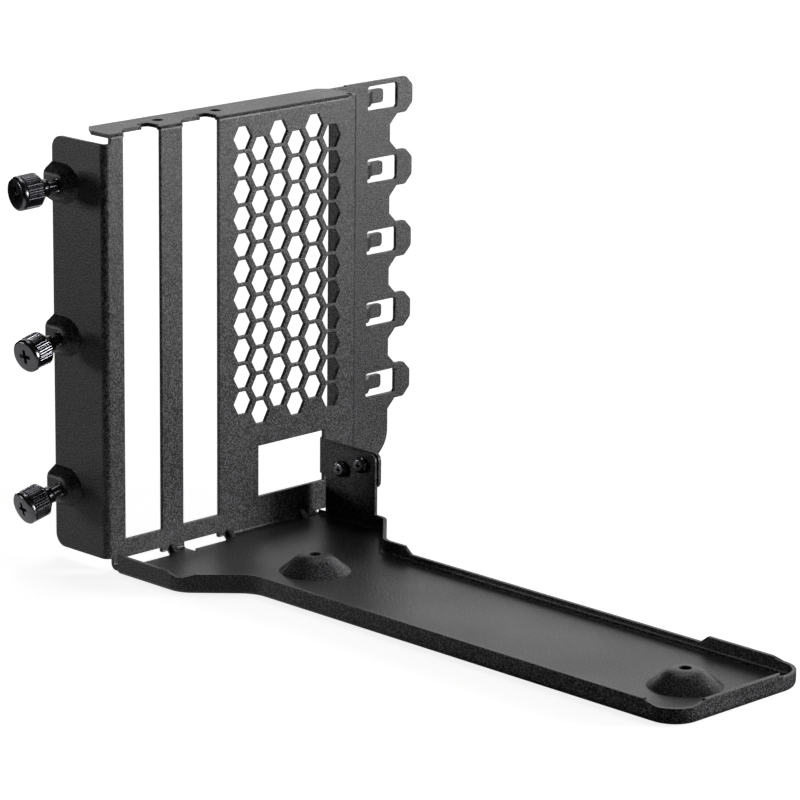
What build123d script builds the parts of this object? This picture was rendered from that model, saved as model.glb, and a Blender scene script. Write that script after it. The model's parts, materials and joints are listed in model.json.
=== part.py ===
from build123d import *
from math import cos, hypot, pi, radians, sin
import os

# A mounting bracket that holds a graphics card upright in a computer case.
# One folded steel sheet: an upright plate with two card slots and a vent, a long tray with a rim,
# a flange with three bosses for captive thumbscrews, and a comb of five hooked lobes.
# Two pan-head screws tie the tray's upright tab to a tab folded out of the plate.
# Built with X along the tray from the plate's front face, Y across from the screw flange, Z up from
# the tray's underside, then moved so that the origin lies midway between the two riser bosses.

# Sheet
SHEET = 1.0
BEND_IN = 0.75
BEND_MID = BEND_IN + SHEET / 2
BEND_OUT = BEND_IN + SHEET
BEND_RELIEF = 0.65
TOP_BEND_IN = 0.1
TOP_BEND_MID = TOP_BEND_IN + SHEET / 2
TOP_BEND_OUT = TOP_BEND_IN + SHEET

# Standard pitch of card slots, which the slots, the lobes and the bosses repeat
SLOT_PITCH = 20.32
SLOT_COUNT = 2
BOSS_PITCH = 2 * SLOT_PITCH

# Upright plate
PLATE_HEIGHT = 115.8
PLATE_WIDTH = 91.0
SLOT_WIDTH = 13.0
SLOT_START = 6.6
SLOT_SILL = 7.45
SLOT_LAST = SLOT_START + SLOT_PITCH * (SLOT_COUNT - 1) + SLOT_WIDTH

# Top flange, folded back, with one tapped hole for each slot
FLANGE_DEPTH = 12.7
FLANGE_END = PLATE_WIDTH - 1.4
FLANGE_CUT_LEFT = (5.1, 3.6)
FLANGE_CUT_RIGHT = (2.4, 2.4)
CARD_SCREW_R = 1.5
CARD_SCREW_BACK = 7.5
CARD_SCREW_SIDE = 18.4
NOTCH_BACK = 4.2
NOTCH_FRONT = 1.7
NOTCH_SLOPE = 4.0
POCKET_BACK = 6.7
POCKET_START = 10.0
POCKET_END = 14.2
POCKET_ROUND = 1.2
CORNER_HOLE_R = 0.85
CORNER_HOLE_BACK = 1.5
CORNER_HOLE_SIDE = 2.2
CORNER_SLIT = 0.25

# Openings in the lower bend for the tongues of the card's own brackets
MOUTH_WIDTH = 12.4
MOUTH_OFFSET = 0.3
MOUTH_FRONT = 2.7
MOUTH_HIGH = 2.6
MOUTH_POCKET = 4.0
MOUTH_POCKET_WIDTH = 1.5
MOUTH_HORN = 2.6
MOUTH_HORN_HIGH = 1.3

# Window whose metal is folded forward as a tab
WINDOW_AFTER_SLOT = 14.2
WINDOW_START = SLOT_LAST + WINDOW_AFTER_SLOT
WINDOW_LOW = 9.8
WINDOW_HIGH = 24.0
WINDOW_RELIEF = 1.6
WINDOW_TAB_LOW = WINDOW_LOW + 2.4
WINDOW_TAB_HIGH = WINDOW_HIGH - 2.0
WINDOW_TAB_REACH = 22.9
WINDOW_TAB_ROUND = 2.0

# Honeycomb vent: as many cells as fit between the slots, the wall, the top bend and the window
VENT_COLUMN_PITCH = 6.51
VENT_ROW_PITCH = 7.2
HEX_WIDTH = 6.7
HEX_HEIGHT = 6.3
HEX_FLAT = 3.1
VENT_MARGIN = 5.15
VENT_DROP = 6.8
VENT_CLEAR = 3.0
VENT_START_Y = SLOT_LAST + VENT_MARGIN + HEX_WIDTH / 2
VENT_START_Z = PLATE_HEIGHT - VENT_DROP

# Screw flange, folded back at the left edge
SIDE_DEPTH = 20.3
SIDE_LOW = 3.1
SIDE_HIGH = PLATE_HEIGHT - 2.4
SIDE_ROUND = 3.4
BOSS_BACK = 15.3
BOSS_ABOVE_MIDDLE = 2.25
BOSS_MID_Z = (SIDE_LOW + SIDE_HIGH) / 2 + BOSS_ABOVE_MIDDLE
BOSS_BASE_R = 5.3
BOSS_TOP_R = 3.3
BOSS_RISE = 3.0
BOSS_SHOULDER = 2.0
BOSS_HOLE_R = 1.75

# Wall folded back at the right edge, and the comb folded out from it
COMB_FACE = -10.8
COMB_REACH = 22.65
COMB_STEP_REACH = 5.6
COMB_STEP = 0.35
COMB_CHAMFER_HIGH = 12.45
COMB_CHAMFER_ROUND = 8.0
LOBE_SLOPE = 2.75
LOBE_FLAT = 3.3
LOBE_CUT = 2.55
LOBE_HALF = 5.0
LOBE_ROUND = 1.4
LOBE_VALLEY = PLATE_WIDTH + COMB_REACH
LOBE_SHOULDER = LOBE_VALLEY + LOBE_SLOPE
LOBE_NECK = LOBE_SHOULDER + LOBE_FLAT
LOBE_TIP = LOBE_NECK + LOBE_CUT
LOBE_DROP = 0.15
TOP_LOBE_Z = PLATE_HEIGHT - LOBE_DROP - LOBE_HALF
HOOK_WIDTH = 11.4
HOOK_END = LOBE_SHOULDER
HOOK_START = HOOK_END - HOOK_WIDTH
HOOK_HALF = 3.45
HOOK_RISE = 0.3
HOOK_ROUND = 0.9
CATCH_STEP = 3.0
CATCH_RAMP_START = 0.6
CATCH_RAMP_END = 4.3
CATCH_SHORT = 2.6
CATCH_HEIGHT = 3.9
CATCH_ROUND = 1.0

# Bosses in the tray for the riser's screws
RISER_FIRST = 38.9
RISER_PITCH = 128.5
RISER_BASE_R = 9.4
RISER_TOP_R = 4.0
RISER_RISE = 4.5
RISER_SHOULDER = 5.0
RISER_HOLE_R = 1.6

# Tray
ARM_PAST_RISER = 18.6
TRAY_LENGTH = RISER_FIRST + RISER_PITCH + ARM_PAST_RISER
NEAR_WIDTH = 77.0
ARM_START = 13.8
ARM_END = 62.4
RISER_MID_X = RISER_FIRST + RISER_PITCH / 2
RISER_MID_Y = (ARM_START + ARM_END) / 2
DIAGONAL_START = 27.6
NEAR_CORNER_ROUND = 9.0
ARM_CORNER_ROUND = 8.0
FAR_CORNER_ROUND = 5.0
RIM = 5.4
FAR_RIM = RIM - 0.4
LOW_RIM = 3.1
LOW_RIM_START = 48.3
LOW_RIM_BEFORE_END = 31.8
LOW_RIM_END = TRAY_LENGTH - LOW_RIM_BEFORE_END
LOW_RIM_SLOPE = 2.4
DIP = RIM - 1.1
DIAGONAL_DIP_HALF = 0.8
NEAR_DIP_HALF = 4.2
FAR_DIP_HALF = 5.7
DIP_SLOPE = 3.8
DIP_ROUND = 1.5
NEAR_RIM_START = 4.2
FAR_RIM_START = 3.4
FLOOR_END = NEAR_WIDTH - SHEET
FLOOR_ROUND = 1.2

# Gussets pressed into the lower bend, one beside each mouth and one at the floor's end
GUSSET_AFTER_MOUTH = 3.75
GUSSET_BEFORE_END = 5.9
GUSSET_REACH = 2.0
GUSSET_WIDTH = 1.6

# Upright tab of the tray's far rim, and its two screws, placed from the window tab's lower front corner
UPRIGHT_END = WINDOW_TAB_REACH - 0.4
UPRIGHT_HIGH = WINDOW_TAB_HIGH - 0.3
UPRIGHT_ROUND = 1.9
FAR_DIAGONAL_START = UPRIGHT_END + 3.8
TAB_SCREW_OFFSETS = ((12.9, 3.3), (5.4, 6.0))
TAB_SCREW_R = 1.5
TAB_SCREW_LENGTH = 4.6
TAB_HEAD_R = 2.3
TAB_HEAD_RISE = 1.7
TAB_HEAD_CROWN = 0.8
TAB_RECESS_DEPTH = 1.0
TAB_RECESS_LONG = 2.4
TAB_RECESS_WIDE = 0.6
THREAD_GAP = 0.05
SCREW_GAP = 0.2

# Captive thumbscrews; each hangs a little out of square in its hole: turn, then droop, in degrees
THUMB_TILTS = (("top", 10.2, 4.9), ("middle", -2.6, 13.2), ("bottom", 7.4, 16.9))
THUMB_STANDOFF = 5.1
THUMB_HEAD_R = 4.5
THUMB_HEAD_LENGTH = 7.4
THUMB_COLLAR = 1.4
THUMB_GROOVE = 0.4
THUMB_FRONT_CHAMFER = 0.5
THUMB_REAR_CHAMFER = 1.4
THUMB_SHOULDER_R = 2.3
THUMB_SHOULDER_LENGTH = 1.8
THUMB_NECK_R = 1.3
THUMB_NECK_BEHIND = 1.6
THUMB_THREAD_R = 1.7
THUMB_THREAD_LENGTH = 6.5
KNURL_COUNT = 24
KNURL_DEPTH = 0.4
RECESS_LONG = 4.6
RECESS_WIDE = 1.1
RECESS_DEPTH = 1.8

# Room that a cutting tool takes beyond the metal
PAST = 1.0


def bend_across(points, radii, y_low, y_high):
    """A strip of sheet whose middle line is given in X and Z, drawn out along Y."""
    section = trace(FilletPolyline(*points, radius=radii), SHEET)
    return extrude(Plane.XZ.offset(-y_low) * section, amount=y_low - y_high)


def bend_upright(points, z_low, z_high):
    """A strip of sheet whose middle line is given in X and Y, drawn out along Z."""
    section = trace(FilletPolyline(*points, radius=BEND_MID), SHEET)
    return extrude(Plane.XY.offset(z_low) * section, amount=z_high - z_low)


def block(x_low, x_high, y_low, y_high, z_low, z_high):
    """A box between two corners."""
    size = (x_high - x_low, y_high - y_low, z_high - z_low)
    return Pos(x_low, y_low, z_low) * Box(*size, align=(Align.MIN,) * 3)


def prism(points, z_low, z_high):
    """A prism along Z from an outline in X and Y."""
    face = make_face(Polyline(*points, close=True))
    return extrude(Plane.XY.offset(z_low) * face, amount=z_high - z_low)


def plate_and_flange():
    """The tray's root, the upright plate and the top flange, bent from one strip."""
    mid = SHEET / 2
    start = BEND_OUT + BEND_RELIEF
    path = ((NEAR_RIM_START + PAST, mid), (-mid, mid), (-mid, PLATE_HEIGHT - mid),
            (-FLANGE_DEPTH, PLATE_HEIGHT - mid))
    strip = bend_across(path, (BEND_MID, TOP_BEND_MID), start, FLANGE_END)
    strip -= block(-SHEET, NEAR_RIM_START + 2 * PAST, FLOOR_END, PLATE_WIDTH, -PAST, BEND_OUT)
    for y, (forward, inward), way in ((start, FLANGE_CUT_LEFT, 1), (FLANGE_END, FLANGE_CUT_RIGHT, -1)):
        corner = ((-FLANGE_DEPTH, y), (-FLANGE_DEPTH, y + way * inward), (forward - FLANGE_DEPTH, y))
        strip -= prism(corner, PLATE_HEIGHT - SHEET - PAST, PLATE_HEIGHT + PAST)
    return strip


def boss_pair(base_r, top_r, rise, shoulder, run=0.0):
    """The outside and the hollow of a pressed boss, standing on a sheet whose top is at Z = 0."""
    slope = hypot(base_r - top_r, rise)
    wall = SHEET * slope / rise
    spread = SHEET * (base_r - top_r) / rise

    def frustum(low_r, high_r, low, high):
        low_face = Pos(0, 0, low) * footprint(low_r, run)
        high_face = Pos(0, 0, high) * footprint(high_r, run)
        return loft([low_face.face(), high_face.face()])

    outside = frustum(base_r, top_r, 0, rise)
    rim = outside.edges().group_by(Axis.Z)[-1]
    outside = fillet(rim.filter_by_position(Axis.X, -2 * top_r, max(run, top_r) - PAST / 2), shoulder)
    hollow = frustum(base_r - wall + spread, top_r - wall + spread, -SHEET, rise - SHEET)
    return outside, hollow


def footprint(radius, run):
    """A circle, or a circle that runs on straight in +X for a given length."""
    if not run:
        return Circle(radius)
    return Circle(radius) + Pos(run / 2, 0) * Rectangle(run, 2 * radius)


def screw_flange():
    """The flange folded back at the left edge, with its three pressed bosses."""
    mid = SHEET / 2
    flange = bend_upright(((-SIDE_DEPTH, mid), (-mid, mid), (-mid, SLOT_START - PAST)), SIDE_LOW, SIDE_HIGH)
    corners = flange.edges().filter_by(Axis.Y).group_by(Axis.X)[0]
    flange = fillet(corners, SIDE_ROUND)
    run = SIDE_DEPTH - BOSS_BACK + PAST
    outside, hollow = boss_pair(BOSS_BASE_R, BOSS_TOP_R, BOSS_RISE, BOSS_SHOULDER, run)
    trim = block(-SIDE_DEPTH - 2 * PAST, -SIDE_DEPTH, -BOSS_RISE - PAST, 2 * SHEET, SIDE_LOW, SIDE_HIGH)
    for z in boss_heights():
        place = Plane(origin=(-BOSS_BACK, 0, z), x_dir=(-1, 0, 0), z_dir=(0, -1, 0))
        flange = flange + place * outside - place * hollow - place * Cylinder(BOSS_HOLE_R, 4 * BOSS_RISE)
    return flange - trim


def boss_heights():
    """Heights of the three bosses, from the top down."""
    return [BOSS_MID_Z + BOSS_PITCH * step for step in (1, 0, -1)]


def lobe_heights():
    """Heights of the lobes that fit on the comb, from the top down."""
    lowest = COMB_CHAMFER_HIGH + COMB_CHAMFER_ROUND + LOBE_HALF
    count = 1 + int((TOP_LOBE_Z - lowest) / SLOT_PITCH)
    return [TOP_LOBE_Z - SLOT_PITCH * index for index in range(count)]


def comb_outline():
    """Outline of the comb in Y and Z, from its top root round the lobes to its bottom root."""
    root = PLATE_WIDTH + BEND_IN
    step = PLATE_WIDTH + COMB_STEP_REACH
    points = [(root, PLATE_HEIGHT - COMB_STEP), (step, PLATE_HEIGHT - COMB_STEP),
              (step, TOP_LOBE_Z + LOBE_HALF)]
    for index, z in enumerate(lobe_heights()):
        if index:
            points += [(LOBE_VALLEY, z + LOBE_HALF + LOBE_SLOPE), (LOBE_SHOULDER, z + LOBE_HALF)]
        points += [(LOBE_NECK, z + LOBE_HALF), (LOBE_TIP, z + LOBE_HALF - LOBE_CUT)]
        points += [(LOBE_TIP, z - LOBE_HALF + LOBE_CUT), (LOBE_NECK, z - LOBE_HALF)]
        points += [(LOBE_SHOULDER, z - LOBE_HALF), (LOBE_VALLEY, z - LOBE_HALF - LOBE_SLOPE)]
    drop = COMB_CHAMFER_HIGH - SIDE_LOW
    return points + [(LOBE_VALLEY, COMB_CHAMFER_HIGH), (LOBE_VALLEY - drop, SIDE_LOW), (root, SIDE_LOW)]


def wall_and_comb():
    """The wall folded back at the right edge and the comb folded out from it, with its hooks."""
    mid = SHEET / 2
    back = COMB_FACE - mid
    side = PLATE_WIDTH - mid
    root = PLATE_WIDTH + BEND_IN
    wall = bend_upright(((-mid, side - 2 * BEND_OUT), (-mid, side), (back, side), (back, root + PAST)),
                        SIDE_LOW, PLATE_HEIGHT - COMB_STEP)
    face = make_face(Polyline(*comb_outline(), close=True))
    tips = face.vertices().filter_by_position(Axis.X, LOBE_SHOULDER + PAST / 2, LOBE_TIP + PAST)
    face = fillet(tips, LOBE_ROUND)
    foot = face.vertices().sort_by_distance((LOBE_VALLEY, COMB_CHAMFER_HIGH))[0]
    face = fillet(foot, COMB_CHAMFER_ROUND)
    comb = extrude(Plane.YZ.offset(COMB_FACE - SHEET) * face, amount=SHEET)
    hook = Rectangle(HOOK_WIDTH, 2 * HOOK_HALF)
    hook = fillet(hook.vertices(), HOOK_ROUND)
    for z in lobe_heights():
        window = Plane.YZ.offset(COMB_FACE - 2 * SHEET) * Pos(HOOK_END - HOOK_WIDTH / 2, z + HOOK_RISE) * hook
        comb -= extrude(window, amount=3 * SHEET)
        comb += hook_catch(back, z)
    return wall + comb


def hook_catch(back, z):
    """The small catch in a lobe's window, stepped back from the comb."""
    path = ((back, HOOK_START - SHEET), (back, HOOK_START + CATCH_RAMP_START),
            (back - CATCH_STEP, HOOK_START + CATCH_RAMP_END), (back - CATCH_STEP, HOOK_END - CATCH_SHORT))
    catch = bend_upright(path, z - CATCH_HEIGHT / 2, z + CATCH_HEIGHT / 2)
    tip = catch.edges().filter_by(Axis.X).group_by(Axis.Y)[-1]
    return fillet(tip, CATCH_ROUND)


def corner_relief():
    """The slit that parts the top bend from the upright bend, and the hole at its end."""
    bend = PLATE_WIDTH - CORNER_HOLE_SIDE
    low = PLATE_HEIGHT - TOP_BEND_OUT
    slit = block(-BEND_OUT, PAST, bend - CORNER_SLIT, bend, low, PLATE_HEIGHT + PAST)
    beyond = block(-BEND_OUT, PAST, bend, PLATE_WIDTH, PLATE_HEIGHT - COMB_STEP, PLATE_HEIGHT + PAST)
    hole = Pos(-CORNER_HOLE_BACK, bend, PLATE_HEIGHT) * Cylinder(CORNER_HOLE_R, 4 * SHEET)
    return slit + beyond + hole


def tray():
    """The tray's pan: a floor with a rim, its bottom edge bent round."""
    behind = -2 * BEND_OUT
    corners = ((behind, 0), (DIAGONAL_START, 0), (DIAGONAL_START + ARM_START, ARM_START),
               (TRAY_LENGTH, ARM_START), (TRAY_LENGTH, ARM_END),
               (FAR_DIAGONAL_START + NEAR_WIDTH - ARM_END, ARM_END), (FAR_DIAGONAL_START, NEAR_WIDTH),
               (behind, NEAR_WIDTH))
    rounds = (SHEET, NEAR_CORNER_ROUND, ARM_CORNER_ROUND, ARM_CORNER_ROUND, ARM_CORNER_ROUND,
              FAR_CORNER_ROUND, FAR_CORNER_ROUND, SHEET)
    outline = make_face(FilletPolyline(*corners, radius=rounds, close=True))
    inner = offset(outline, -SHEET)
    outside = extrude(outline, RIM)
    outside = fillet(outside.edges().group_by(Axis.Z)[0], BEND_OUT)
    inside = extrude(Pos(0, 0, SHEET) * inner, RIM)
    inside = fillet(inside.edges().group_by(Axis.Z)[0], FLOOR_ROUND)
    pan = outside - inside
    pan -= block(2 * behind, BEND_IN, -PAST, PLATE_WIDTH, -PAST, RIM + PAST)
    pan -= block(2 * behind, NEAR_RIM_START, -PAST, BEND_OUT + BEND_RELIEF, -PAST, RIM + PAST)
    pan -= block(2 * behind, FAR_RIM_START, FLOOR_END, PLATE_WIDTH, -PAST, RIM + PAST)
    eighth = pi / 4
    pan -= rim_dip(DIAGONAL_START, 0, -3 * eighth / 2, DIAGONAL_DIP_HALF)
    pan -= rim_dip(TRAY_LENGTH, ARM_START, -eighth, NEAR_DIP_HALF)
    pan -= rim_dip(TRAY_LENGTH, ARM_END, eighth, FAR_DIP_HALF)
    return pan - far_rim_cut()


def far_rim_cut():
    """What is cut from the far rim to lower it, most of all along the arm."""
    high = RIM + 2 * PAST
    points = ((0, FAR_RIM), (LOW_RIM_START, FAR_RIM), (LOW_RIM_START + LOW_RIM_SLOPE, LOW_RIM),
              (LOW_RIM_END - LOW_RIM_SLOPE, LOW_RIM), (LOW_RIM_END, FAR_RIM),
              (TRAY_LENGTH - ARM_CORNER_ROUND, FAR_RIM), (TRAY_LENGTH - ARM_CORNER_ROUND, high), (0, high))
    face = make_face(Polyline(*points, close=True))
    depth = NEAR_WIDTH - ARM_END + ARM_CORNER_ROUND
    return extrude(Plane.XZ.offset(-NEAR_WIDTH - PAST) * face, amount=depth)


def rim_dip(x, y, outward, half):
    """What is cut from the rim to lower it round one corner, which points outward at an angle."""
    along = (-sin(outward), cos(outward), 0)
    place = Plane(origin=(x, y, 0), x_dir=along, z_dir=(cos(outward), sin(outward), 0))
    high = RIM + 2 * PAST
    points = ((-half, DIP), (half, DIP), (half + DIP_SLOPE, RIM), (half + DIP_SLOPE, high),
              (-half - DIP_SLOPE, high), (-half - DIP_SLOPE, RIM))
    face = make_face(Polyline(*points, close=True))
    face = fillet(face.vertices().filter_by_position(Axis.Y, DIP - PAST, RIM + PAST), DIP_ROUND)
    return extrude(place.offset(-ARM_CORNER_ROUND) * face, amount=2 * ARM_CORNER_ROUND)


def upright_tab():
    """The part of the far rim that stands up beside the plate."""
    points = ((FAR_RIM_START, FAR_RIM - PAST), (UPRIGHT_END, FAR_RIM - PAST), (UPRIGHT_END, UPRIGHT_HIGH),
              (FAR_RIM_START, UPRIGHT_HIGH))
    face = make_face(Polyline(*points, close=True))
    face = fillet(face.vertices().group_by(Axis.Y)[-1], UPRIGHT_ROUND)
    return extrude(Plane.XZ.offset(-NEAR_WIDTH) * face, amount=SHEET)


def window_tab():
    """The metal of the window, folded forward to back the upright tab."""
    mid = NEAR_WIDTH + SHEET / 2
    strip = bend_upright(((WINDOW_TAB_REACH, mid), (-SHEET / 2, mid), (-SHEET / 2, mid + 2 * BEND_OUT)),
                         WINDOW_TAB_LOW, WINDOW_TAB_HIGH)
    return fillet(strip.edges().filter_by(Axis.Y).group_by(Axis.X)[-1], WINDOW_TAB_ROUND)


def slot_starts():
    """Left edges of the two card slots."""
    return [SLOT_START + SLOT_PITCH * index for index in range(SLOT_COUNT)]


def slot_cuts():
    """What the card slots take from the plate, the top flange and the bend to the tray."""
    cuts = []
    top = PLATE_HEIGHT - TOP_BEND_OUT
    for y in slot_starts():
        end = y + SLOT_WIDTH
        cuts.append(block(-SHEET - PAST, PAST, y, end, SLOT_SILL, top))
        notch = ((PAST, y), (-NOTCH_FRONT, y + NOTCH_FRONT / 2), (-NOTCH_BACK, y + NOTCH_SLOPE),
                 (-NOTCH_BACK, end), (PAST, end))
        cuts.append(prism(notch, top, PLATE_HEIGHT + PAST))
        pocket = Pos(-(POCKET_BACK + NOTCH_FRONT) / 2, y + (POCKET_START + POCKET_END) / 2) \
            * Rectangle(POCKET_BACK - NOTCH_FRONT, POCKET_END - POCKET_START)
        pocket = fillet(pocket.vertices().group_by(Axis.X)[0], POCKET_ROUND)
        cuts.append(extrude(Pos(0, 0, top) * pocket, TOP_BEND_OUT + PAST))
        screw = Pos(-CARD_SCREW_BACK, y + CARD_SCREW_SIDE, PLATE_HEIGHT)
        cuts.append(screw * Cylinder(CARD_SCREW_R, 4 * SHEET))
    return cuts


def mouth_starts():
    """Left edges of the openings in the lower bend."""
    return [y + MOUTH_OFFSET for y in slot_starts()]


def mouth_cuts():
    """The openings in the lower bend, each with a pocket at its front and a relief in the bend beside it."""
    cuts = []
    for y in mouth_starts():
        end = y + MOUTH_WIDTH
        cuts.append(block(-SHEET - PAST, MOUTH_FRONT, y, end, -PAST, MOUTH_HIGH))
        cuts.append(block(0, MOUTH_POCKET, y, y + MOUTH_POCKET_WIDTH, -PAST, MOUTH_HIGH))
        horn = ((-SHEET - PAST, end - PAST), (MOUTH_FRONT, end - PAST), (MOUTH_FRONT, end),
                (0, end + MOUTH_HORN), (-SHEET - PAST, end + MOUTH_HORN))
        cuts.append(prism(horn, -PAST, MOUTH_HORN_HIGH))
    return cuts


def vent_cuts():
    """The honeycomb: columns of six-sided holes, every other column half a pitch lower."""
    wide, high, flat = HEX_WIDTH / 2, HEX_HEIGHT / 2, HEX_FLAT / 2
    corners = ((wide, 0), (flat, high), (-flat, high), (-wide, 0), (-flat, -high), (flat, -high))
    face = make_face(Polyline(*corners, close=True))
    cell = extrude(Plane.YZ.offset(-SHEET - PAST) * face, SHEET + 2 * PAST)
    room_y = PLATE_WIDTH - BEND_OUT - HEX_WIDTH / 2 - VENT_START_Y
    room_z = VENT_START_Z - VENT_ROW_PITCH / 2 - HEX_HEIGHT / 2 - WINDOW_HIGH - VENT_CLEAR
    places = []
    for column in range(1 + int(room_y / VENT_COLUMN_PITCH)):
        drop = VENT_ROW_PITCH / 2 if column % 2 else 0
        for row in range(1 + int(room_z / VENT_ROW_PITCH)):
            z = VENT_START_Z - drop - VENT_ROW_PITCH * row
            places.append(Pos(0, VENT_START_Y + VENT_COLUMN_PITCH * column, z))
    return [place * cell for place in places]


def gusset_places():
    """Middles of the gussets, across the plate."""
    return [y + MOUTH_WIDTH + GUSSET_AFTER_MOUTH for y in mouth_starts()] + [FLOOR_END - GUSSET_BEFORE_END]


def gusset(y):
    """A rib pressed into the lower bend: what stands inside, and the hollow outside."""
    width = GUSSET_WIDTH / 2
    reach = SHEET + GUSSET_REACH
    corner = ((-SHEET / 2, SHEET / 2), (-SHEET / 2, reach), (0, reach), (GUSSET_REACH, SHEET),
              (GUSSET_REACH, SHEET / 2))
    rib = Plane.XZ.offset(-y - width) * make_face(Polyline(*corner, close=True))
    shift = reach - SHEET * 2 ** 0.5
    dent = ((-SHEET - PAST, -PAST), (-SHEET - PAST, shift + SHEET + PAST), (shift + PAST, -PAST))
    hollow = Plane.XZ.offset(-y - width / 2) * make_face(Polyline(*dent, close=True))
    return extrude(rib, GUSSET_WIDTH), extrude(hollow, GUSSET_WIDTH / 2)


def bracket_body():
    """The whole folded sheet."""
    body = plate_and_flange() + screw_flange() + wall_and_comb() + tray() + upright_tab()
    window = block(-SHEET - PAST, PAST, WINDOW_START, NEAR_WIDTH + WINDOW_RELIEF, WINDOW_LOW, WINDOW_HIGH)
    body = body - window + window_tab()
    for y in gusset_places():
        rib, hollow = gusset(y)
        body = body + rib - hollow
    body -= slot_cuts() + mouth_cuts() + vent_cuts()
    body -= corner_relief()
    outside, hollow = boss_pair(RISER_BASE_R, RISER_TOP_R, RISER_RISE, RISER_SHOULDER)
    for x in (RISER_FIRST, RISER_FIRST + RISER_PITCH):
        place = Pos(x, RISER_MID_Y, SHEET)
        body = body + place * outside - place * hollow - place * Cylinder(RISER_HOLE_R, 4 * RISER_RISE)
    for x, z in tab_screw_places():
        for y, gap in ((NEAR_WIDTH - SHEET, SCREW_GAP), (NEAR_WIDTH + SHEET, THREAD_GAP)):
            body -= Pos(x, y, z) * Rot(90, 0, 0) * Cylinder(TAB_SCREW_R + gap, SHEET * 2)
    return body


def tab_screw_places():
    """X and Z of the two screws through the tabs."""
    return [(WINDOW_TAB_REACH - x, WINDOW_TAB_LOW + z) for x, z in TAB_SCREW_OFFSETS]


def cross_recess(depth, long, wide):
    """A cross-shaped driver recess, down from Z = 0."""
    return extrude(Rectangle(long, wide) + Rectangle(wide, long), -depth)


def turned(outline):
    """A turned piece about Z from its outline in radius and height."""
    return revolve(Plane.XZ * make_face(Polyline(*outline, close=True)), Axis.Z)


def tab_screw(x, z):
    """A pan-head screw through the two tabs, with its head on the upright one."""
    crown = TAB_HEAD_R - TAB_HEAD_CROWN
    screw = turned(((0, -TAB_SCREW_LENGTH), (TAB_SCREW_R, -TAB_SCREW_LENGTH), (TAB_SCREW_R, 0),
                    (TAB_HEAD_R, 0), (TAB_HEAD_R, TAB_HEAD_RISE - TAB_HEAD_CROWN), (crown, TAB_HEAD_RISE),
                    (0, TAB_HEAD_RISE)))
    screw -= Pos(0, 0, TAB_HEAD_RISE) * cross_recess(TAB_RECESS_DEPTH, TAB_RECESS_LONG, TAB_RECESS_WIDE)
    return Plane(origin=(x, NEAR_WIDTH - SHEET, z), x_dir=(1, 0, 0), z_dir=(0, -1, 0)) * screw


def grip(low, high):
    """The knurled part of a thumbscrew's head: straight ridges all round."""
    turn = pi / KNURL_COUNT
    radii = (THUMB_HEAD_R, THUMB_HEAD_R - KNURL_DEPTH)
    points = [(radii[step % 2] * cos(step * turn), radii[step % 2] * sin(step * turn))
              for step in range(2 * KNURL_COUNT)]
    return extrude(Pos(0, 0, low) * make_face(Polyline(*points, close=True)), high - low)


def thumbscrew(z, turn, droop):
    """A captive thumbscrew, its axis through the middle of its hole."""
    low = THUMB_STANDOFF
    high = low + THUMB_HEAD_LENGTH
    collar = high - THUMB_COLLAR
    groove = THUMB_HEAD_R - KNURL_DEPTH
    behind = low + THUMB_REAR_CHAMFER
    tail = -THUMB_NECK_BEHIND - THUMB_THREAD_LENGTH
    screw = turned(((0, tail), (THUMB_THREAD_R, tail), (THUMB_THREAD_R, -THUMB_NECK_BEHIND),
                    (THUMB_NECK_R, -THUMB_NECK_BEHIND), (THUMB_NECK_R, low - THUMB_SHOULDER_LENGTH),
                    (THUMB_SHOULDER_R, low - THUMB_SHOULDER_LENGTH), (THUMB_SHOULDER_R, low),
                    (groove - THUMB_REAR_CHAMFER, low), (groove, behind), (groove, collar),
                    (THUMB_HEAD_R, collar), (THUMB_HEAD_R, high - THUMB_FRONT_CHAMFER),
                    (THUMB_HEAD_R - THUMB_FRONT_CHAMFER, high), (0, high)))
    screw += grip(behind, collar - THUMB_GROOVE)
    screw -= Pos(0, 0, high) * cross_recess(RECESS_DEPTH, RECESS_LONG, RECESS_WIDE)
    turn, droop = radians(turn), radians(droop)
    outward = (-sin(turn) * cos(droop), -cos(turn) * cos(droop), -sin(droop))
    pivot = (-BOSS_BACK, SHEET / 2 - BOSS_RISE, z)
    return Plane(origin=pivot, x_dir=(cos(turn), -sin(turn), 0), z_dir=outward) * screw


def main():
    """Builds every piece, moves it to the origin and writes it out."""
    pieces = {"bracket_body": bracket_body()}
    for z, (name, turn, droop) in zip(boss_heights(), THUMB_TILTS):
        pieces["thumbscrew_" + name] = thumbscrew(z, turn, droop)
    for index, (x, z) in enumerate(tab_screw_places(), start=1):
        pieces[f"tab_screw_{index}"] = tab_screw(x, z)
    os.makedirs("parts", exist_ok=True)
    for name, piece in pieces.items():
        moved = Pos(-RISER_MID_X, -RISER_MID_Y, 0) * piece
        export_step(moved, f"parts/{name}.step")


main()
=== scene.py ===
import json
import math

import bmesh
import bpy
from mathutils import Matrix, Vector


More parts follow.
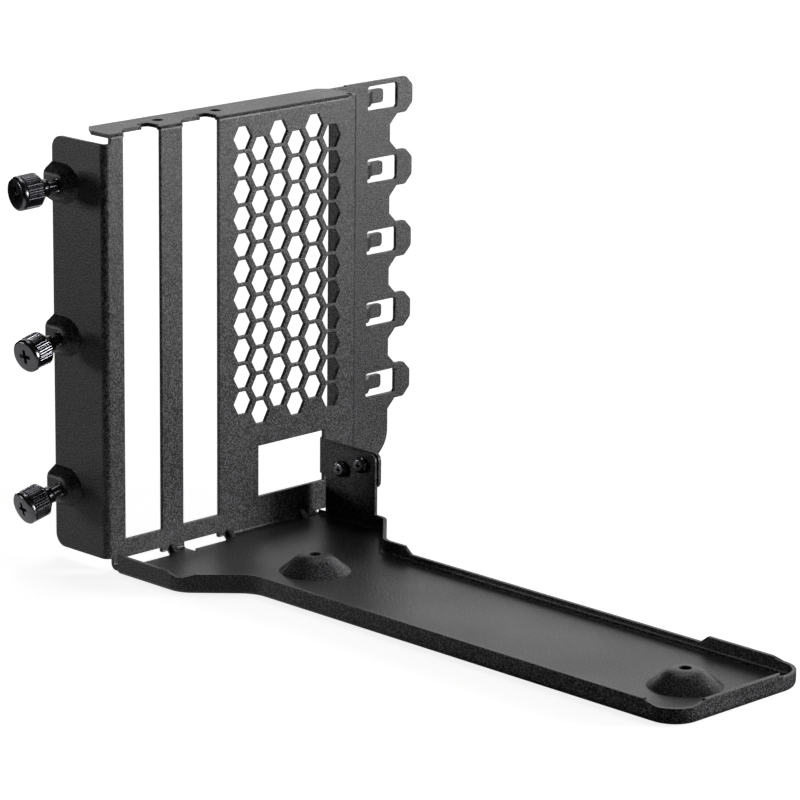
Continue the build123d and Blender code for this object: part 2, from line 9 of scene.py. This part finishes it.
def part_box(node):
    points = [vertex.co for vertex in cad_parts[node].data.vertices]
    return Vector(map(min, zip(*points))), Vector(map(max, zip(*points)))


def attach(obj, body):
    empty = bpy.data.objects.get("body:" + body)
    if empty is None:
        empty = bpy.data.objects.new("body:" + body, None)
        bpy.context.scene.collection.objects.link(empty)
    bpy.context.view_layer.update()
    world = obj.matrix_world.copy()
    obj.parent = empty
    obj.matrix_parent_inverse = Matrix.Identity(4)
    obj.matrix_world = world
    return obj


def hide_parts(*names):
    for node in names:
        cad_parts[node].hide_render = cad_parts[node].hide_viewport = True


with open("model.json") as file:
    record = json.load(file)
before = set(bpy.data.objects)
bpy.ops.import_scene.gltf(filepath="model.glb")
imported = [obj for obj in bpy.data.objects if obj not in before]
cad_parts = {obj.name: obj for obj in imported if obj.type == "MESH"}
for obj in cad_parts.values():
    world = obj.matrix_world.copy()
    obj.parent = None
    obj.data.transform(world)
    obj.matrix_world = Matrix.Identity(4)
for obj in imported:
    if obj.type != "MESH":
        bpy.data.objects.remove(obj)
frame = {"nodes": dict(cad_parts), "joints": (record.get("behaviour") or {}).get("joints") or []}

# A mounting bracket that holds a graphics card upright: a folded steel sheet in black powder coat,
# three captive thumbscrews with black plating, and two small pan-head screws. Sizes are in millimetres.

MM = 0.001
bpy.context.view_layer.update()

# Photograph's viewpoint
CAMERA_PLACE = (677.02, -710.66, 316.14)
CAMERA_TARGET = (-43.15, 9.70, 49.47)
CAMERA_ROLL = 0.594
CAMERA_LENS = 184.62
CAMERA_CLIP = (0.01, 50.0)
SENSOR = 36.0

# Studio, whose lengths are in metres and powers in watts. Gloss sees a white backdrop in one direction,
# a dark room elsewhere and a pool of light on the floor. Fill is the world's light from all round.
BACKDROP_WAY = (-0.3, 0.95, 0.1)
BACKDROP_EDGE = (0.5, 0.9)
BACKDROP_STRENGTH = 1.0
ROOM_STRENGTH = 0.02
FILL_STRENGTH = 0.02
FLOOR_HALF = 3.0
FLOOR_DROP = 0.0001
FLOOR_CARD = "#d8d8d6"
FLOOR_GLOW = 0.85
# Painted pool of light: strength of a glow in the floor that only gloss sees, fading out between the radii of
# FLOOR_POOL about FLOOR_POOL_CENTRE
FLOOR_POOL_GLOW = 0.42
FLOOR_POOL = (0.08, 0.22)
FLOOR_POOL_CENTRE = (-0.16, -0.1, 0.0)
SOFTBOX_DISTANCE = 1.2
SOFTBOXES = (  # name, direction, side, power
    ("right_softbox", (0.7, 0.7, 0.12), 0.4, 11.4),
    ("back_softbox", (-0.6, 0.65, 0.42), 0.5, 0.3),
    ("top_softbox", (-0.25, 0.25, 0.93), 0.5, 2.0),
    ("left_softbox", (-0.6, -0.6, 0.02), 0.3, 2.8),
    ("ridge_softbox", (0.91, 0.37, 0.2), 0.3, 1.2),
    ("rear_softbox", (-0.95, 0.3, 0.02), 0.4, 4.5),
)

# Powder coat: sizes of its grains, of the slow drift of its gloss and of its rounded edges, its relief,
# its speckle as two stops, and its span of roughness
COAT_GRAIN = 0.34
COAT_SAND = 0.5
COAT_DRIFT = 26.0
COAT_EDGE = 0.28
COAT_EDGE_SAMPLES = 6
COAT_RELIEF = 0.03
COAT_SPECKLE = ((0.48, "#060607"), (0.6, "#646467"))
COAT_ROUGHNESS = (0.34, 0.4)
COAT_SPECULAR = 0.4

# Black platings: two shades and a roughness each, then the film's mottling and the fine pits that both share
THUMB_PLATING = (("#6c6c70", "#7e7e83"), 0.2)
PAN_PLATING = (("#6a6a6e", "#7a7a7f"), 0.24)
FILM_SIZE = 1.2
FILM_STOPS = (0.3, 0.75)
FILM_ROUGHNESS = (-0.04, 0.05)
PIT_SIZE = 0.25
PIT_RELIEF = 0.002
PIT_STRENGTH = 0.6

# Most values of a noise lie in this span
NOISE_SPAN = (0.3, 0.7)

# Captive thumbscrew
HEAD_R = 4.5
HEAD_LOW = 5.1
HEAD_HIGH = 12.5
HEAD_COLLAR = 1.4
HEAD_GROOVE = 0.4
FRONT_CHAMFER = 0.5
REAR_CHAMFER = 1.4
SHOULDER_R = 2.3
SHOULDER_LENGTH = 1.8
RIDGES = 38
RIDGE_DEPTH = 0.36
RIDGE_STEPS = 6
RIDGE_MARGIN = (0.05, 0.01)
NECK_R = 1.5
NECK_END = -1.6
THREAD_R = 1.7
THREAD_LENGTH = 6.5
THREAD_PITCH = 0.79
THREAD_DEPTH = 0.3
THREAD_STEPS = 6
TIP_CHAMFER = 0.5
NECK_TAPER = 0.3
REAR_EASE = (0.1, 0.08)
GROOVE_EASE = 0.05
RECESS_LONG = 4.6
RECESS_WIDE = 1.1
RECESS_DEPTH = 1.8

# Pan-head screw of the tray's upright tab
PAN_R = 2.3
PAN_RISE = 1.7
PAN_EDGE = 0.5
PAN_CROWN = 1.0
PAN_CROWN_STEPS = 8
PAN_TIP = 0.3
PAN_SCREW_R = 1.5
PAN_SCREW_LENGTH = 4.6
PAN_PITCH = 0.5
PAN_THREAD_DEPTH = 0.2
PAN_THREAD_GAP = 0.1
PAN_AROUND = 96
PAN_RECESS_LONG = 2.4
PAN_RECESS_WIDE = 0.6
PAN_RECESS_DEPTH = 1.0

# Driver recesses narrow towards their floor, along and across each arm. Their cutter runs past the head
RECESS_TAPER = (0.55, 0.8)
RECESS_PAST = 1.0

# Shares of half a ridge or of half a thread over which its flank runs
RIDGE_FLANK = (0.12, 0.4)
THREAD_FLANK = (0.06, 0.44)

# Turned edges are softened over this length and bulge by this share of it. Points closer than the last
# two are joined into one
EDGE_SOFT = 0.12
EDGE_BULGE = 0.29
SMOOTH_ANGLE = 32.0
MERGE = 0.001
WELD = 0.0005


def linear(hex_colour):
    """An sRGB hex colour as linear RGBA."""
    values = [int(hex_colour[i:i + 2], 16) / 255 for i in (1, 3, 5)]
    return [v / 12.92 if v <= 0.04045 else ((v + 0.055) / 1.055) ** 2.4 for v in values] + [1.0]


def add(tree, kind, inputs=None, **settings):
    """Adds a node with its settings. An input is given a value or linked from another node's socket."""
    node = tree.nodes.new(kind)
    for name, value in settings.items():
        setattr(node, name, value)
    for name, value in (inputs or {}).items():
        if isinstance(value, bpy.types.NodeSocket):
            tree.links.new(value, node.inputs[name])
        else:
            node.inputs[name].default_value = value
    return node


def new_material(name):
    """An empty node material, its tree and its output node."""
    material = bpy.data.materials.new(name)
    material.use_nodes = True
    material.node_tree.nodes.clear()
    return material, material.node_tree, add(material.node_tree, "ShaderNodeOutputMaterial")


def per_mm(size):
    """Scale of a noise whose features are that many millimetres across."""
    return 1 / (size * MM)


def set_stops(ramp, stops):
    """Gives a colour ramp its two stops, each a position and an sRGB hex colour."""
    for element, (position, hex_colour) in zip(ramp.color_ramp.elements, stops):
        element.position, element.color = position, linear(hex_colour)


def spread(tree, value, result):
    """Spreads a noise's usual span over a range of results."""
    return add(tree, "ShaderNodeMapRange", {
        "Value": value, "From Min": NOISE_SPAN[0], "From Max": NOISE_SPAN[1],
        "To Min": result[0], "To Max": result[1]}).outputs[0]


def textured_powder_coat():
    """Black polyester powder coat with a fine sand texture, sprayed dry and baked on steel.
    The eye sees a soft grey sheen broken into small bright and dark grains, and rounded edges."""
    material, tree, output = new_material("textured_powder_coat")
    place = add(tree, "ShaderNodeTexCoord").outputs["Object"]
    grain = add(tree, "ShaderNodeTexNoise", {"Vector": place, "Scale": per_mm(COAT_GRAIN), "Detail": 1.0,
                                             "Roughness": 0.5}).outputs["Fac"]
    sand = add(tree, "ShaderNodeTexVoronoi", {"Vector": place, "Scale": per_mm(COAT_SAND),
                                              "Randomness": 1.0})
    drift = add(tree, "ShaderNodeTexNoise", {"Vector": place, "Scale": per_mm(COAT_DRIFT), "Detail": 1.0})
    height = add(tree, "ShaderNodeMath", {0: grain, 1: sand.outputs["Distance"]}, operation="SUBTRACT")
    rounded = add(tree, "ShaderNodeBevel", {"Radius": COAT_EDGE * MM}, samples=COAT_EDGE_SAMPLES)
    bump = add(tree, "ShaderNodeBump", {"Strength": 1.0, "Distance": COAT_RELIEF * MM,
                                        "Height": height.outputs[0], "Normal": rounded.outputs[0]})
    colour = add(tree, "ShaderNodeValToRGB", {"Fac": grain})
    set_stops(colour, COAT_SPECKLE)
    rough = spread(tree, drift.outputs["Fac"], COAT_ROUGHNESS)
    shader = add(tree, "ShaderNodeBsdfPrincipled", {
        "Base Color": colour.outputs["Color"], "Roughness": rough, "IOR": 1.5,
        "Specular IOR Level": COAT_SPECULAR, "Normal": bump.outputs[0]})
    tree.links.new(shader.outputs[0], output.inputs["Surface"])
    return material


def plated_turned_steel(name, shades, roughness):
    """Steel turned on a lathe and black plated. The eye sees a glossy metal that mirrors the dark room,
    with sharp highlights and a little mottling in the film."""
    material, tree, output = new_material(name)
    place = add(tree, "ShaderNodeTexCoord").outputs["Object"]
    film = add(tree, "ShaderNodeTexNoise", {"Vector": place, "Scale": per_mm(FILM_SIZE),
                                            "Detail": 3.0}).outputs["Fac"]
    pits = add(tree, "ShaderNodeTexNoise", {"Vector": place, "Scale": per_mm(PIT_SIZE), "Detail": 1.0})
    bump = add(tree, "ShaderNodeBump", {"Strength": PIT_STRENGTH, "Distance": PIT_RELIEF * MM,
                                        "Height": pits.outputs["Fac"]})
    tint = add(tree, "ShaderNodeValToRGB", {"Fac": film})
    set_stops(tint, zip(FILM_STOPS, shades))
    shade = spread(tree, film, [roughness + change for change in FILM_ROUGHNESS])
    shader = add(tree, "ShaderNodeBsdfPrincipled", {"Base Color": tint.outputs["Color"], "Metallic": 1.0,
                                                    "Roughness": shade, "Normal": bump.outputs[0]})
    tree.links.new(shader.outputs[0], output.inputs["Surface"])
    return material


def outline_rows(sections):
    """A turned outline as rows of (radius, height). A section is a point and the rows from it to the next."""
    rows = []
    for (r, z, count), (next_r, next_z, _) in zip(sections, sections[1:] + sections[-1:]):
        rows += [(r + (next_r - r) * i / count, z + (next_z - z) * i / count) for i in range(count)]
    return rows


def outline_object(name, rows):
    """The outline as a row of points that the turning tree reads."""
    mesh = bpy.data.meshes.new(name)
    mesh.from_pydata([(r * MM, 0, z * MM) for r, z in rows], [(i, i + 1) for i in range(len(rows) - 1)], [])
    return bpy.data.objects.new(name, mesh)


def driver_cutter(name, long, wide, depth, top):
    """A cross-shaped driver recess as a tapered solid of two arms."""
    mesh = bpy.data.meshes.new(name)
    shape = bmesh.new()
    for across in (False, True):
        arm = bmesh.ops.create_cube(shape, size=1.0)["verts"]
        for vertex in arm:
            low = vertex.co.z < 0
            shorter, narrower = RECESS_TAPER if low else (1.0, 1.0)
            x, y = vertex.co.x * long * shorter, vertex.co.y * wide * narrower
            z = top - depth if low else top + RECESS_PAST
            vertex.co = Vector((y, x, z) if across else (x, y, z)) * MM
        if across:
            bmesh.ops.reverse_faces(shape, faces=list({face for vertex in arm for face in vertex.link_faces}))
    shape.to_mesh(mesh)
    shape.free()
    return bpy.data.objects.new(name, mesh)


def interface(tree, sockets):
    """Gives a tree its named inputs and its one output of geometry."""
    tree.interface.new_socket("Geometry", in_out="OUTPUT", socket_type="NodeSocketGeometry")
    for name, kind in sockets:
        tree.interface.new_socket(name, in_out="INPUT", socket_type="NodeSocket" + kind)


def turning_tree():
    """A piece turned from an outline, with straight ridges round one part, a screw thread round another,
    and a driver recess cut into it."""
    tree = bpy.data.node_groups.new("turned_piece", "GeometryNodeTree")
    interface(tree, [("Geometry", "Geometry"), ("Outline", "Object"), ("Cutter", "Object"), ("Around", "Int"),
                     ("Ridges", "Int"), ("Ridge radius", "Float"), ("Ridge depth", "Float"),
                     ("Ridge low", "Float"), ("Ridge high", "Float"), ("Thread radius", "Float"),
                     ("Thread depth", "Float"), ("Thread pitch", "Float"), ("Thread low", "Float"),
                     ("Thread high", "Float"), ("Finish", "Material")])
    given = add(tree, "NodeGroupInput").outputs

    def calc(operation, *values):
        return add(tree, "ShaderNodeMath", dict(enumerate(values)), operation=operation).outputs[0]

    outline = add(tree, "GeometryNodeObjectInfo", {"Object": given["Outline"]}).outputs["Geometry"]
    rows = add(tree, "GeometryNodeAttributeDomainSize", {"Geometry": outline}).outputs["Point Count"]
    columns = calc("ADD", given["Around"], 1)
    grid = add(tree, "GeometryNodeMeshGrid", {"Vertices X": columns, "Vertices Y": rows}).outputs["Mesh"]
    index = add(tree, "GeometryNodeInputIndex").outputs[0]
    column = calc("FLOOR", calc("DIVIDE", calc("ADD", index, 0.5), rows))
    row = calc("SUBTRACT", index, calc("MULTIPLY", column, rows))
    turn = calc("DIVIDE", calc("MODULO", column, given["Around"]), given["Around"])
    point = add(tree, "GeometryNodeSampleIndex", {"Geometry": outline, "Index": row},
                data_type="FLOAT_VECTOR")
    tree.links.new(add(tree, "GeometryNodeInputPosition").outputs[0], point.inputs["Value"])
    split = add(tree, "ShaderNodeSeparateXYZ", {0: point.outputs[0]}).outputs
    radius, height = split["X"], split["Z"]

    def within(low, high):
        above, below = calc("GREATER_THAN", height, given[low]), calc("LESS_THAN", height, given[high])
        return calc("MULTIPLY", above, below)

    spoke = calc("PINGPONG", calc("MULTIPLY", turn, given["Ridges"]), 0.5)
    valley = add(tree, "ShaderNodeMapRange", {
        "Value": spoke, "From Min": RIDGE_FLANK[0], "From Max": RIDGE_FLANK[1]},
        interpolation_type="SMOOTHSTEP").outputs[0]
    ridge = calc("SUBTRACT", given["Ridge radius"], calc("MULTIPLY", valley, given["Ridge depth"]))
    wound = calc("PINGPONG", calc("ADD", calc("DIVIDE", height, given["Thread pitch"]), turn), 0.5)
    flank = add(tree, "ShaderNodeMapRange", {"Value": wound, "From Min": THREAD_FLANK[0],
                                             "From Max": THREAD_FLANK[1]}).outputs[0]
    thread = calc("SUBTRACT", given["Thread radius"], calc("MULTIPLY", flank, given["Thread depth"]))
    for cut, low, high in ((ridge, "Ridge low", "Ridge high"), (thread, "Thread low", "Thread high")):
        inside = calc("MINIMUM", radius, cut)
        radius = add(tree, "ShaderNodeMix", {"Factor": within(low, high), "A": radius, "B": inside},
                     data_type="FLOAT").outputs["Result"]
    angle = calc("MULTIPLY", turn, 2 * math.pi)
    place = add(tree, "ShaderNodeCombineXYZ", {
        "X": calc("MULTIPLY", radius, calc("COSINE", angle)),
        "Y": calc("MULTIPLY", radius, calc("SINE", angle)), "Z": height})
    turned = add(tree, "GeometryNodeSetPosition", {"Geometry": grid, "Position": place.outputs[0]}).outputs[0]
    merged = add(tree, "GeometryNodeMergeByDistance",
                 {"Geometry": turned, "Distance": MERGE * MM}).outputs[0]
    cutter = add(tree, "GeometryNodeObjectInfo", {"Object": given["Cutter"]}).outputs["Geometry"]
    recess = add(tree, "GeometryNodeMeshBoolean", {"Mesh 1": merged}, operation="DIFFERENCE", solver="EXACT")
    tree.links.new(cutter, recess.inputs["Mesh 2"])
    recess.inputs["Self Intersection"].default_value = True
    real = add(tree, "GeometryNodeRealizeInstances", {"Geometry": recess.outputs["Mesh"]}).outputs[0]
    finished = add(tree, "GeometryNodeSetMaterial",
                   {"Geometry": real, "Material": given["Finish"]}).outputs[0]
    add(tree, "NodeGroupOutput", {"Geometry": finished})
    return tree


def plain_mesh(name, tree, values):
    """Runs a tree with the given inputs and returns its result as a plain mesh object."""
    host = bpy.data.objects.new(name, bpy.data.meshes.new(name))
    bpy.context.scene.collection.objects.link(host)
    modifier = host.modifiers.new("build", "NODES")
    modifier.node_group = tree
    for item in tree.interface.items_tree:
        if item.in_out == "INPUT" and item.name in values:
            modifier[item.identifier] = values[item.name]
    bpy.context.view_layer.update()
    made = bpy.data.meshes.new_from_object(host.evaluated_get(bpy.context.evaluated_depsgraph_get()))
    host.modifiers.remove(modifier)
    host.data = made
    return host


def settle(piece, place):
    """Puts a piece's place into its mesh, with closed seams and faces that point outwards."""
    shape = bmesh.new()
    shape.from_mesh(piece.data)
    bmesh.ops.remove_doubles(shape, verts=shape.verts, dist=WELD * MM)
    bmesh.ops.recalc_face_normals(shape, faces=shape.faces)
    shape.to_mesh(piece.data)
    shape.free()
    piece.data.transform(place)
    piece.data.shade_smooth()
    piece.data.set_sharp_from_angle(angle=math.radians(SMOOTH_ANGLE))


def soft_corner(r, z, before, after):
    """Three rows that round a turned corner: before and after are the ways towards its neighbours."""
    corner = Vector((r, z))
    back, on = Vector(before).normalized() * EDGE_SOFT, Vector(after).normalized() * EDGE_SOFT
    middle = corner + (back + on) * EDGE_BULGE
    return [(*(corner + back), 1), (*middle, 1), (*(corner + on), 1)]


def thumbscrew_outline():
    """The thumbscrew's outline from its thread's tip to the middle of its front."""
    tail = NECK_END - THREAD_LENGTH
    collar = HEAD_HIGH - HEAD_COLLAR
    groove = HEAD_R - RIDGE_DEPTH
    turns = round(THREAD_LENGTH / THREAD_PITCH * THREAD_STEPS)
    ease_r, ease_z = REAR_EASE
    sections = [(0, tail, 1), (THREAD_R - TIP_CHAMFER, tail, 4), (THREAD_R, tail + TIP_CHAMFER, turns),
                (THREAD_R, NECK_END - NECK_TAPER, 3), (NECK_R, NECK_END, 1),
                (NECK_R, HEAD_LOW - SHOULDER_LENGTH, 1)]
    sections += soft_corner(SHOULDER_R, HEAD_LOW - SHOULDER_LENGTH, (-1, 0), (0, 1))
    sections += [(SHOULDER_R, HEAD_LOW, 1), (HEAD_R - REAR_CHAMFER - ease_r, HEAD_LOW, 1),
                 (HEAD_R - REAR_CHAMFER, HEAD_LOW + ease_z, 10), (HEAD_R, HEAD_LOW + REAR_CHAMFER, 4),
                 (HEAD_R, collar - HEAD_GROOVE, 2), (groove, collar - HEAD_GROOVE + GROOVE_EASE, 1),
                 (groove, collar - GROOVE_EASE, 1)]
    sections += soft_corner(HEAD_R, collar, (-1, 0), (0, 1))
    sections += soft_corner(HEAD_R, HEAD_HIGH - FRONT_CHAMFER, (0, -1), (-1, 1))
    sections += soft_corner(HEAD_R - FRONT_CHAMFER, HEAD_HIGH, (1, -1), (-1, 0))
    return outline_rows(sections + [(0, HEAD_HIGH, 1)])


def pan_outline():
    """The pan-head screw's outline, with its crown drawn as an arc."""
    turns = round(PAN_SCREW_LENGTH / PAN_PITCH * THREAD_STEPS)
    sections = [(0, -PAN_SCREW_LENGTH, 1), (PAN_SCREW_R - PAN_TIP, -PAN_SCREW_LENGTH, 3),
                (PAN_SCREW_R, PAN_TIP - PAN_SCREW_LENGTH, turns), (PAN_SCREW_R, 0, 1)]
    sections += soft_corner(PAN_R, 0, (-1, 0), (0, 1))
    arc = [math.radians(90 * step / PAN_CROWN_STEPS) for step in range(PAN_CROWN_STEPS + 1)]
    sections += [(PAN_R - PAN_CROWN + PAN_CROWN * math.cos(angle),
                  PAN_EDGE + (PAN_RISE - PAN_EDGE) * math.sin(angle), 1) for angle in arc]
    return outline_rows(sections + [(0, PAN_RISE, 1)])


def screw_place(anchor, outward):
    """Where a screw goes: its own Z becomes outward."""
    across = Vector((0, 0, 1)).cross(outward).normalized()
    return Matrix.Translation(anchor) @ Matrix((across, outward.cross(across), outward)).transposed().to_4x4()


def make_thumbscrews(tree, finish):
    """The three captive thumbscrews, each about the hinge that the model gives it."""
    outline = outline_object("thumbscrew_outline", thumbscrew_outline())
    cutter = driver_cutter("thumbscrew_cutter", RECESS_LONG, RECESS_WIDE, RECESS_DEPTH, HEAD_HIGH)
    ridge_high = HEAD_HIGH - HEAD_COLLAR - HEAD_GROOVE + RIDGE_MARGIN[1]
    values = {"Outline": outline, "Cutter": cutter, "Around": RIDGES * RIDGE_STEPS, "Ridges": RIDGES,
              "Ridge radius": HEAD_R * MM, "Ridge depth": RIDGE_DEPTH * MM,
              "Ridge low": (HEAD_LOW + RIDGE_MARGIN[0]) * MM, "Ridge high": ridge_high * MM,
              "Thread radius": THREAD_R * MM, "Thread depth": THREAD_DEPTH * MM,
              "Thread pitch": THREAD_PITCH * MM, "Thread low": (NECK_END - THREAD_LENGTH) * MM,
              "Thread high": NECK_END * MM, "Finish": finish}
    for joint in frame["joints"]:
        body = joint["child"]
        screw = plain_mesh(body + "_turned", tree, values)
        settle(screw, screw_place(Vector(joint["pos_m"]), Vector(joint["axis"]).normalized()))
        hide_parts(body)
        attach(screw, body)


def make_tab_screws(tree, finish):
    """The two pan-head screws through the upright tab."""
    outline = outline_object("tab_screw_outline", pan_outline())
    cutter = driver_cutter("tab_screw_cutter", PAN_RECESS_LONG, PAN_RECESS_WIDE, PAN_RECESS_DEPTH, PAN_RISE)
    values = {"Outline": outline, "Cutter": cutter, "Around": PAN_AROUND, "Ridges": 0,
              "Ridge radius": PAN_R * MM, "Ridge depth": 0.0, "Ridge low": 0.0, "Ridge high": 0.0,
              "Thread radius": PAN_SCREW_R * MM, "Thread depth": PAN_THREAD_DEPTH * MM,
              "Thread pitch": PAN_PITCH * MM, "Thread low": -PAN_SCREW_LENGTH * MM,
              "Thread high": -PAN_THREAD_GAP * MM, "Finish": finish}
    for node in ("tab_screw_1", "tab_screw_2"):
        low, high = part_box(node)
        middle = (low + high) / 2
        seat = Vector((middle.x, low.y + PAN_RISE * MM, middle.z))
        screw = plain_mesh(node + "_turned", tree, values)
        settle(screw, screw_place(seat, Vector((0, -1, 0))))
        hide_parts(node)
        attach(screw, "bracket")


def make_camera():
    """The photograph's viewpoint."""
    data = bpy.data.cameras.new("camera")
    data.sensor_width, data.lens = SENSOR, CAMERA_LENS
    data.clip_start, data.clip_end = CAMERA_CLIP
    camera = bpy.data.objects.new("camera", data)
    place, target = Vector(CAMERA_PLACE) * MM, Vector(CAMERA_TARGET) * MM
    back = (place - target).normalized()
    level = Vector((0, 0, 1)).cross(back).normalized()
    roll = math.radians(CAMERA_ROLL)
    right = level * math.cos(roll) + back.cross(level) * math.sin(roll)
    turn = Matrix((right, back.cross(right), back)).transposed().to_4x4()
    camera.matrix_world = Matrix.Translation(place) @ turn
    bpy.context.scene.collection.objects.link(camera)
    bpy.context.scene.camera = camera


def light_path(tree):
    """What a ray is: 1 where the camera sees it, and 1 where gloss or glass does."""
    path = add(tree, "ShaderNodeLightPath").outputs
    gloss = add(tree, "ShaderNodeMath", {0: path["Is Glossy Ray"], 1: path["Is Transmission Ray"]},
                operation="MAXIMUM").outputs[0]
    return path["Is Camera Ray"], gloss


def seen_strength(tree, gloss_strength, other_strength):
    """Strength 1 for the camera, one value for gloss and glass, and another for light on the object."""
    camera, gloss = light_path(tree)
    lit = add(tree, "ShaderNodeMix", {"Factor": gloss, "A": other_strength, "B": gloss_strength},
              data_type="FLOAT")
    return add(tree, "ShaderNodeMath", {0: lit.outputs["Result"], 1: camera}, operation="MAXIMUM").outputs[0]


def make_world():
    """A white studio to the camera. Gloss sees a white backdrop behind the object, and elsewhere a dark room.
    A weak light falls on the object from all round."""
    world = bpy.data.worlds.new("studio")
    world.use_nodes = True
    tree = world.node_tree
    tree.nodes.clear()
    way = add(tree, "ShaderNodeVectorMath", {0: add(tree, "ShaderNodeTexCoord").outputs["Generated"],
                                             1: Vector(BACKDROP_WAY).normalized()}, operation="DOT_PRODUCT")
    backdrop = add(tree, "ShaderNodeMapRange", {"Value": way.outputs["Value"], "From Min": BACKDROP_EDGE[0],
                                                "From Max": BACKDROP_EDGE[1], "To Min": ROOM_STRENGTH,
                                                "To Max": BACKDROP_STRENGTH}, interpolation_type="SMOOTHSTEP")
    sky = add(tree, "ShaderNodeBackground",
              {"Color": (1, 1, 1, 1), "Strength": seen_strength(tree, backdrop.outputs[0], FILL_STRENGTH)})
    add(tree, "ShaderNodeOutputWorld", {"Surface": sky.outputs[0]})
    bpy.context.scene.world = world


def make_floor():
    """A plain pale floor under the tray, white to the camera but for the object's own shadow. Gloss sees
    a pool of light on it at the thumbscrews' side."""
    shape = bmesh.new()
    bmesh.ops.create_grid(shape, x_segments=1, y_segments=1, size=FLOOR_HALF)
    mesh = bpy.data.meshes.new("floor")
    shape.to_mesh(mesh)
    shape.free()
    mesh.transform(Matrix.Translation((0, 0, -FLOOR_DROP)))
    floor = bpy.data.objects.new("floor", mesh)
    bpy.context.scene.collection.objects.link(floor)
    material, tree, output = new_material("matt_white_card")
    camera, gloss = light_path(tree)
    # To gloss the card is black, so reflections of the floor show only the painted pool of light: a glow of
    # the floor itself near the thumbscrews, no lamp
    card = add(tree, "ShaderNodeMix", {"Factor": gloss, "A": linear(FLOOR_CARD), "B": linear("#000000")},
               data_type="RGBA")
    matt = add(tree, "ShaderNodeBsdfDiffuse", {"Color": card.outputs["Result"]})
    reach = add(tree, "ShaderNodeVectorMath", {0: add(tree, "ShaderNodeTexCoord").outputs["Object"],
                                               1: FLOOR_POOL_CENTRE}, operation="DISTANCE")
    pool = add(tree, "ShaderNodeMapRange", {"Value": reach.outputs["Value"], "From Min": FLOOR_POOL[0],
                                            "From Max": FLOOR_POOL[1], "To Min": FLOOR_POOL_GLOW, "To Max": 0.0},
               interpolation_type="SMOOTHSTEP")
    seen = add(tree, "ShaderNodeMath", {0: gloss, 1: pool.outputs[0]}, operation="MULTIPLY")
    glow = add(tree, "ShaderNodeMath", {0: camera, 1: FLOOR_GLOW, 2: seen.outputs[0]},
               operation="MULTIPLY_ADD")
    light = add(tree, "ShaderNodeEmission", {"Strength": glow.outputs[0]})
    both = add(tree, "ShaderNodeAddShader", {0: matt.outputs[0], 1: light.outputs[0]})
    tree.links.new(both.outputs[0], output.inputs["Surface"])
    mesh.materials.append(material)


def make_softbox(name, way, size, power):
    """A square softbox in a direction from the middle of the object, and aimed at it."""
    data = bpy.data.lights.new(name, "AREA")
    data.size, data.energy = size, power
    lamp = bpy.data.objects.new(name, data)
    way = Vector(way).normalized()
    lamp.location = Vector(CAMERA_TARGET) * MM + way * SOFTBOX_DISTANCE
    lamp.rotation_euler = way.to_track_quat("Z", "Y").to_euler()
    bpy.context.scene.collection.objects.link(lamp)


def main():
    """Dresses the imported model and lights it."""
    coat = textured_powder_coat()
    thumb = plated_turned_steel("black_plated_turned_steel", *THUMB_PLATING)
    small = plated_turned_steel("black_oxide_steel", *PAN_PLATING)
    frame["nodes"]["bracket_body"].material_slots[0].material = coat
    tree = turning_tree()
    make_thumbscrews(tree, thumb)
    make_tab_screws(tree, small)
    make_camera()
    make_world()
    make_floor()
    for softbox in SOFTBOXES:
        make_softbox(*softbox)
    bpy.context.scene.view_settings.view_transform = "Standard"


main()
